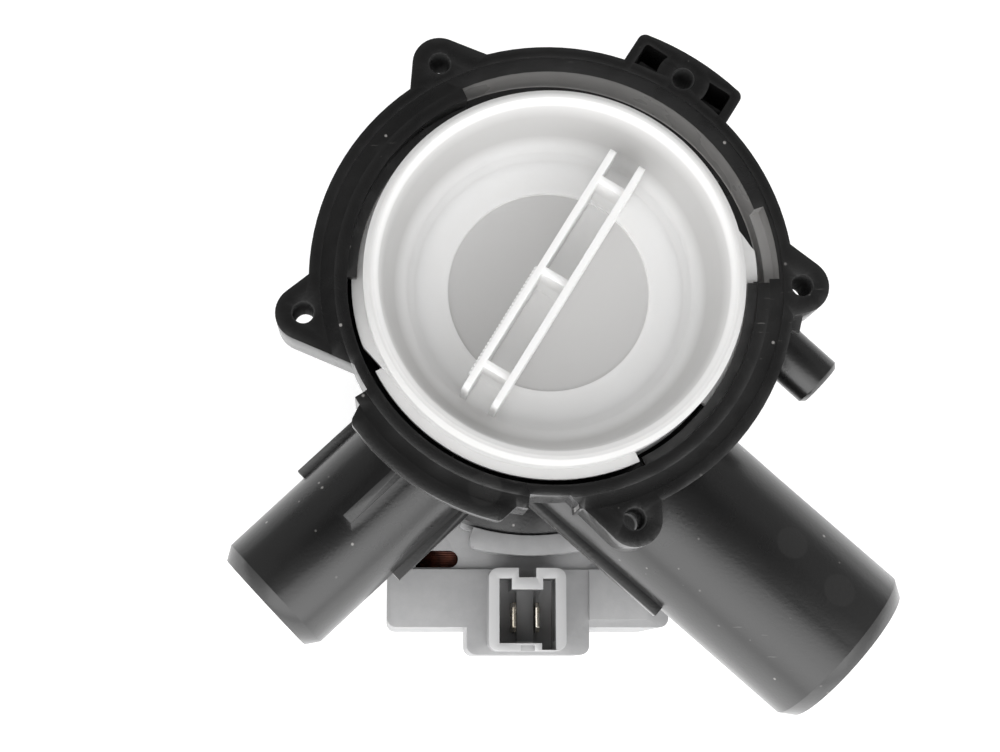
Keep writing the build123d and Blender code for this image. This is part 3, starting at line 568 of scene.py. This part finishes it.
copper_wire, tree, shader = new_finish("copper wire", COPPER_DARK, roughness=0.35, metallic=0.6)
enamel = spread(tree, grain(tree, pattern_place(tree), ENAMEL_SCALE), *ENAMEL_SPAN)
copper = blend_colors(tree, enamel, COPPER_DARK, COPPER_LIT)
tree.links.new(copper, shader.inputs["Base Color"])
vary_roughness(tree, shader, enamel, *ENAMEL_SATIN)


def coil_outline(x, level):
    """Half of a coil's section: its turns on the outside and its core leg's wall inside."""
    pitch = (COIL_SPAN[1] - COIL_SPAN[0]) / COIL_TURNS
    wire = pitch / 2
    outline = []
    for turn in range(COIL_TURNS):
        middle = COIL_SPAN[0] + (turn + 0.5) * pitch
        for k in range(TURN_POINTS):
            swing = math.pi * (k + 0.5) / TURN_POINTS
            outline.append((x + COIL_OUTER - wire + wire * math.sin(swing),
                            middle - wire * math.cos(swing), level))
    outline.append((x + COIL_INNER, COIL_SPAN[1], level))
    outline.append((x + COIL_INNER, COIL_SPAN[0], level))
    return outline


def wound_coil(name, x):
    """Sweeps a coil's section round the oblong core leg: an end, a side, and so again."""
    top = COIL_LEVEL + COIL_HALF_STRAIGHT
    straight = 2 * COIL_HALF_STRAIGHT
    coil = bmesh.new()
    points = [coil.verts.new(place) for place in coil_outline(x, top)]
    sides = [coil.edges.new(ends) for ends in zip(points, points[1:] + points[:1])]
    moving = points + sides
    for centre, shift in ((top, -straight), (top - straight, straight)):
        swept = bmesh.ops.spin(coil, geom=moving, cent=(x, 0.0, centre), axis=(0.0, 1.0, 0.0),
                               angle=-math.pi, steps=END_STEPS, use_merge=False)
        edges = [part for part in swept["geom_last"] if isinstance(part, bmesh.types.BMEdge)]
        pulled = bmesh.ops.extrude_edge_only(coil, edges=edges)["geom"]
        moving = [part for part in pulled if not isinstance(part, bmesh.types.BMFace)]
        corners = [part for part in moving if isinstance(part, bmesh.types.BMVert)]
        bmesh.ops.translate(coil, vec=(0.0, 0.0, shift), verts=corners)
    bmesh.ops.remove_doubles(coil, verts=coil.verts, dist=WELD_REACH)
    bmesh.ops.recalc_face_normals(coil, faces=coil.faces)
    for face in coil.faces:
        face.smooth = True
    return add_piece(name, coil)


for side, x in (("left", -COIL_OFFSET), ("right", COIL_OFFSET)):
    coil_piece = wound_coil(side + "_coil", x)
    finish_with(coil_piece, copper_wire)
    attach(coil_piece, "pump")
    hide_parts(side + "_winding")


# Rotor: a moulded impeller on a ground steel shaft, a ferrite magnet, sintered bushes and
# slippery thrust washers.

SHAFT_STEEL = (0.62, 0.63, 0.65, 1.0)
SHAFT_RINGS = 900.0
SHAFT_SATIN = (0.12, 0.24)
SHAFT_EDGE = 0.0001
FERRITE = (0.055, 0.055, 0.06, 1.0)
FERRITE_DUST = (0.10, 0.095, 0.09, 1.0)
POWDER_SCALE = 260.0
POWDER_SPAN = (0.4, 0.7)
FERRITE_EDGE = 0.0003
BRONZE = (0.42, 0.28, 0.13, 1.0)
BRONZE_PORE = (0.20, 0.13, 0.06, 1.0)
PORE_SCALE = 2400.0
PORE_SIZE = 0.3
BUSH_EDGE = 0.00015
IMPELLER_GREY = (0.66, 0.66, 0.64, 1.0)
IMPELLER_SCALE = 200.0
IMPELLER_SATIN = (0.34, 0.5)
IMPELLER_GRAIN = 1400.0
IMPELLER_EDGE = 0.0002
WASHER_WHITE = (0.78, 0.77, 0.74, 1.0)
WASHER_SCALE = 700.0
WASHER_SATIN = (0.24, 0.38)

shaft_steel, tree, shader = new_finish("shaft steel", SHAFT_STEEL, roughness=0.16, metallic=1.0)
rings = layers(tree, pattern_place(tree), "Z", SHAFT_RINGS)
vary_roughness(tree, shader, rings, *SHAFT_SATIN)
break_edges(nodes["pump_shaft"], SHAFT_EDGE)
finish_with(nodes["pump_shaft"], shaft_steel)

ferrite, tree, shader = new_finish("ferrite", FERRITE, roughness=0.62)
powder = spread(tree, grain(tree, pattern_place(tree), POWDER_SCALE, detail=5.0), *POWDER_SPAN)
tree.links.new(blend_colors(tree, powder, FERRITE, FERRITE_DUST), shader.inputs["Base Color"])
add_bump(tree, shader, powder, strength=0.1, depth=0.0002)
break_edges(nodes["rotor_magnet"], FERRITE_EDGE)
finish_with(nodes["rotor_magnet"], ferrite)

sintered_bronze, tree, shader = new_finish("sintered bronze", BRONZE, roughness=0.5, metallic=1.0)
pores = specks(tree, pattern_place(tree), PORE_SCALE, PORE_SIZE)
tree.links.new(blend_colors(tree, pores, BRONZE, BRONZE_PORE), shader.inputs["Base Color"])
add_bump(tree, shader, pores, strength=0.2, depth=0.0001)
for name in ("front_bush", "rear_bush"):
    break_edges(nodes[name], BUSH_EDGE)
    finish_with(nodes[name], sintered_bronze)

impeller_plastic, tree, shader = new_finish("impeller plastic", IMPELLER_GREY, roughness=0.4)
place = pattern_place(tree)
vary_roughness(tree, shader, grain(tree, place, IMPELLER_SCALE), *IMPELLER_SATIN, SATIN_SPAN)
add_bump(tree, shader, grain(tree, place, IMPELLER_GRAIN), strength=0.06, depth=0.0002)
break_edges(nodes["impeller"], IMPELLER_EDGE)
finish_with(nodes["impeller"], impeller_plastic)

washer_plastic, tree, shader = new_finish("washer plastic", WASHER_WHITE, roughness=0.3)
washer_grain = grain(tree, pattern_place(tree), WASHER_SCALE)
vary_roughness(tree, shader, washer_grain, *WASHER_SATIN, SATIN_SPAN)
for name in ("front_washer", "rear_washer"):
    finish_with(nodes[name], washer_plastic)


# Floor: a wide pale sheet that the pump stands on, on its motor. The camera sees it as plain
# white around the pump's shadow. In the casing's skin it mirrors bright in front of the pump
# and hardly at all behind it.

FLOOR_REACH = 3.0
FLOOR_LEVEL = cad_box[0][2]
FLOOR_WHITE = (0.92, 0.92, 0.92, 1.0)
FLOOR_LIFT = 0.42
FLOOR_MIRRORED = (1.0, 0.02)
FLOOR_TURNOVER = (-0.12, 0.12)

sheet = bmesh.new()
bmesh.ops.create_grid(sheet, x_segments=1, y_segments=1, size=FLOOR_REACH,
                      matrix=Matrix.Translation((0.0, 0.0, FLOOR_LEVEL)))
floor = add_piece("floor", sheet)
floor_white, tree, shader = new_finish("floor white", FLOOR_WHITE, roughness=0.9)
shader.inputs["Specular IOR Level"].default_value = 0.0
glow = tree.nodes.new("ShaderNodeEmission")
rays = tree.nodes.new("ShaderNodeLightPath")
behind = axes_of(tree, pattern_place(tree))["Y"]
mirrored = times(tree, rays.outputs["Is Glossy Ray"],
                 spread(tree, behind, *FLOOR_TURNOVER, *FLOOR_MIRRORED))
seen = spread(tree, rays.outputs["Is Camera Ray"], 0.0, 1.0, 0.0, FLOOR_LIFT)
tree.links.new(chained(tree, "ADD", (seen, mirrored)), glow.inputs["Strength"])
both = tree.nodes.new("ShaderNodeAddShader")
tree.links.new(shader.outputs["BSDF"], both.inputs[0])
tree.links.new(glow.outputs[0], both.inputs[1])
tree.links.new(both.outputs[0], tree.nodes["Material Output"].inputs["Surface"])
finish_with(floor, floor_white)


# Light and camera: one wide soft lamp low in front of the ports, a pale sky that is weaker
# behind and overhead, more so in what mirrors it, and plain white to the camera, which
# stands where the photograph was taken from.

LAMP_PLACE = Vector((-0.02, -0.74, 0.60))
LAMP_AIM = Vector((0.0, -0.02, -0.03))
LAMP_WIDTH = 1.9
LAMP_HEIGHT = 1.1
LAMP_WATTS = 7.5
SKY_LEVELS = (1.15, 0.82)
SKY_TURNOVER = (-0.6, 0.6)
MIRRORED_LEVELS = (1.4, 0.30)
MIRRORED_TURNOVER = (-0.6, 0.3)
OVERHEAD_SPAN = (0.7, 0.92)
OVERHEAD_SHARE = 0.32
CAMERA_PLACE = Vector((-0.03123, -0.07502, 0.32048))
CAMERA_RIGHT = Vector((0.9978, -0.0005, 0.0656))
CAMERA_UP = Vector((-0.0109, 0.9849, 0.1730))
CAMERA_BACK = Vector((-0.0646, -0.1734, 0.9827))
FOCAL_SHARE = 1.7588637
SENSOR_WIDTH = 36.0
NEAR_LIMIT = 0.01

lamp = bpy.data.lights.new("front lamp", "AREA")
lamp.shape = "RECTANGLE"
lamp.size = LAMP_WIDTH
lamp.size_y = LAMP_HEIGHT
lamp.energy = LAMP_WATTS
holder = bpy.data.objects.new("front lamp", lamp)
bpy.context.scene.collection.objects.link(holder)
holder.location = LAMP_PLACE
holder.rotation_euler = (LAMP_AIM - LAMP_PLACE).to_track_quat("-Z", "Y").to_euler()

sky = bpy.data.worlds.new("sky")
bpy.context.scene.world = sky
sky.use_nodes = True
tree = sky.node_tree
tree.nodes.clear()
rays = tree.nodes.new("ShaderNodeLightPath")
way = axes_of(tree, tree.nodes.new("ShaderNodeTexCoord").outputs["Generated"])
source = tree.nodes.new("ShaderNodeMix")
tree.links.new(rays.outputs["Is Glossy Ray"], source.inputs["Factor"])
tree.links.new(spread(tree, way["Y"], *SKY_TURNOVER, *SKY_LEVELS), source.inputs["A"])
tree.links.new(spread(tree, way["Y"], *MIRRORED_TURNOVER, *MIRRORED_LEVELS), source.inputs["B"])
overhead = spread(tree, way["Z"], *OVERHEAD_SPAN, 1.0, OVERHEAD_SHARE)
ambient = tree.nodes.new("ShaderNodeBackground")
tree.links.new(times(tree, source.outputs["Result"], overhead), ambient.inputs["Strength"])
backdrop = tree.nodes.new("ShaderNodeBackground")
backdrop.inputs["Strength"].default_value = 1.0
for background in (ambient, backdrop):
    background.inputs["Color"].default_value = (1.0, 1.0, 1.0, 1.0)
choice = tree.nodes.new("ShaderNodeMixShader")
seen = joined(tree, rays.outputs["Is Camera Ray"], rays.outputs["Is Transmission Ray"])
tree.links.new(seen, choice.inputs["Fac"])
tree.links.new(ambient.outputs[0], choice.inputs[1])
tree.links.new(backdrop.outputs[0], choice.inputs[2])
output = tree.nodes.new("ShaderNodeOutputWorld")
tree.links.new(choice.outputs[0], output.inputs["Surface"])

lens = bpy.data.cameras.new("camera")
lens.sensor_width = SENSOR_WIDTH
lens.lens = FOCAL_SHARE * SENSOR_WIDTH
lens.clip_start = NEAR_LIMIT
camera = bpy.data.objects.new("camera", lens)
bpy.context.scene.collection.objects.link(camera)
turned = Matrix((CAMERA_RIGHT, CAMERA_UP, CAMERA_BACK)).transposed().to_4x4()
camera.matrix_world = Matrix.Translation(CAMERA_PLACE) @ turned
bpy.context.scene.camera = camera
bpy.context.scene.view_settings.view_transform = "Standard"
